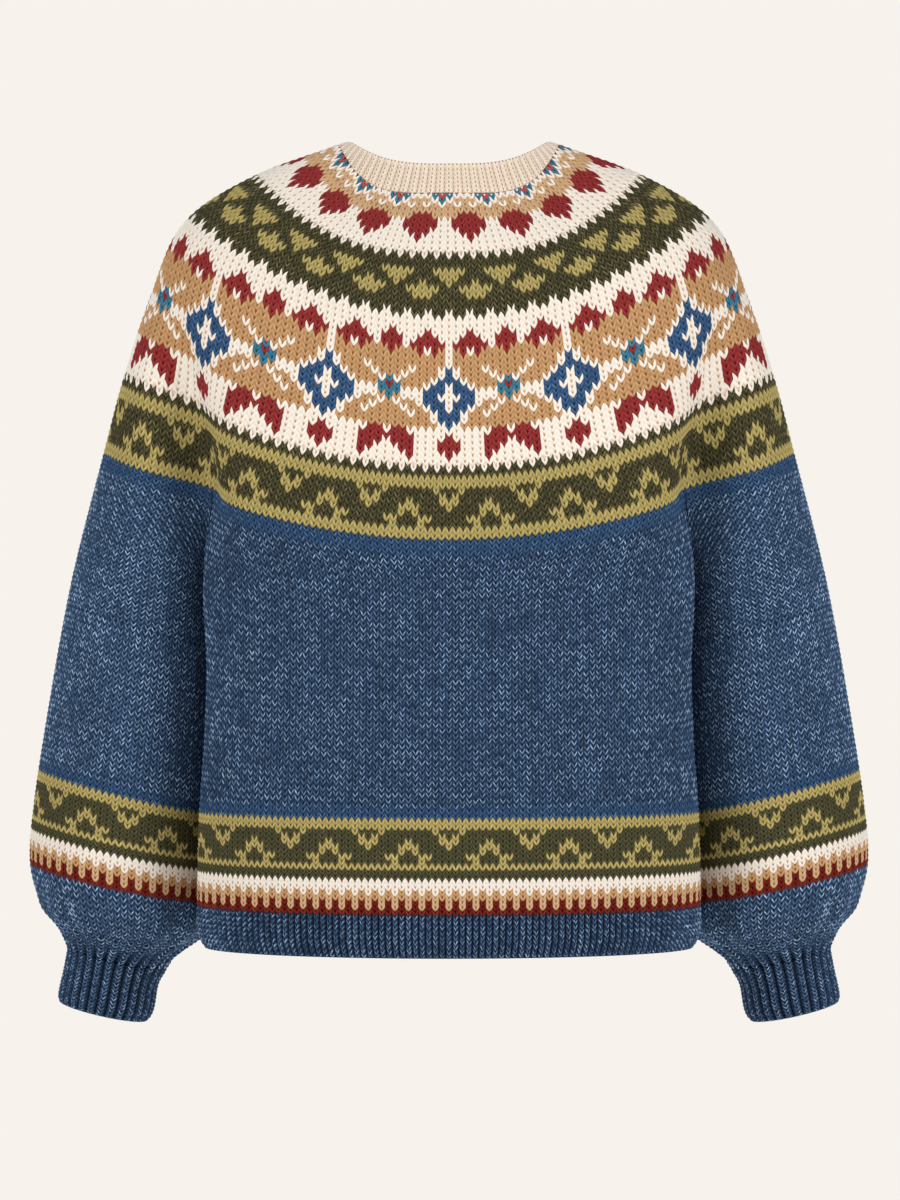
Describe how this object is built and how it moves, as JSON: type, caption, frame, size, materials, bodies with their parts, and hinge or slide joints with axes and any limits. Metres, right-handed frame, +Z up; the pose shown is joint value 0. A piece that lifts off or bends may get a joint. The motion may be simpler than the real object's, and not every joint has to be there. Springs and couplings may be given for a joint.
{
  "type": "fair isle yoke pullover sweater",
  "caption": "Long-sleeved knitted pullover with a round patterned yoke, balloon sleeves and ribbed neck, hem and cuffs, hollow and filled out as worn.",
  "frame": {"origin": "middle of the neck opening, level with the tops of the shoulders, where the wearer's neck comes through", "axes": "+Z up, +Y to the wearer's front, +X to the wearer's right"},
  "size_m": [0.6554, 0.2542, 0.6842],
  "materials": {
    "neckband_yarn": "undyed oatmeal wool in fine 1x1 rib, matt",
    "yoke_yarns": "stranded stocking stitch in cream, tan, dark red, teal, blue, olive and gold wool, matt",
    "body_yarns": "stocking stitch in heathered denim-blue wool with light flecks, patterned bands above the edges, matt",
    "rib_yarn": "1x1 rib in the same heathered blue wool, matt"
  },
  "bodies": {
    "root": {"neckband": "neckband_yarn", "yoke": "yoke_yarns", "body_back": "body_yarns", "body_front": "body_yarns", "hem": "rib_yarn", "sleeve_right": "body_yarns", "sleeve_left": "body_yarns", "cuff_right": "rib_yarn", "cuff_left": "rib_yarn"}
  },
  "joints": []
}
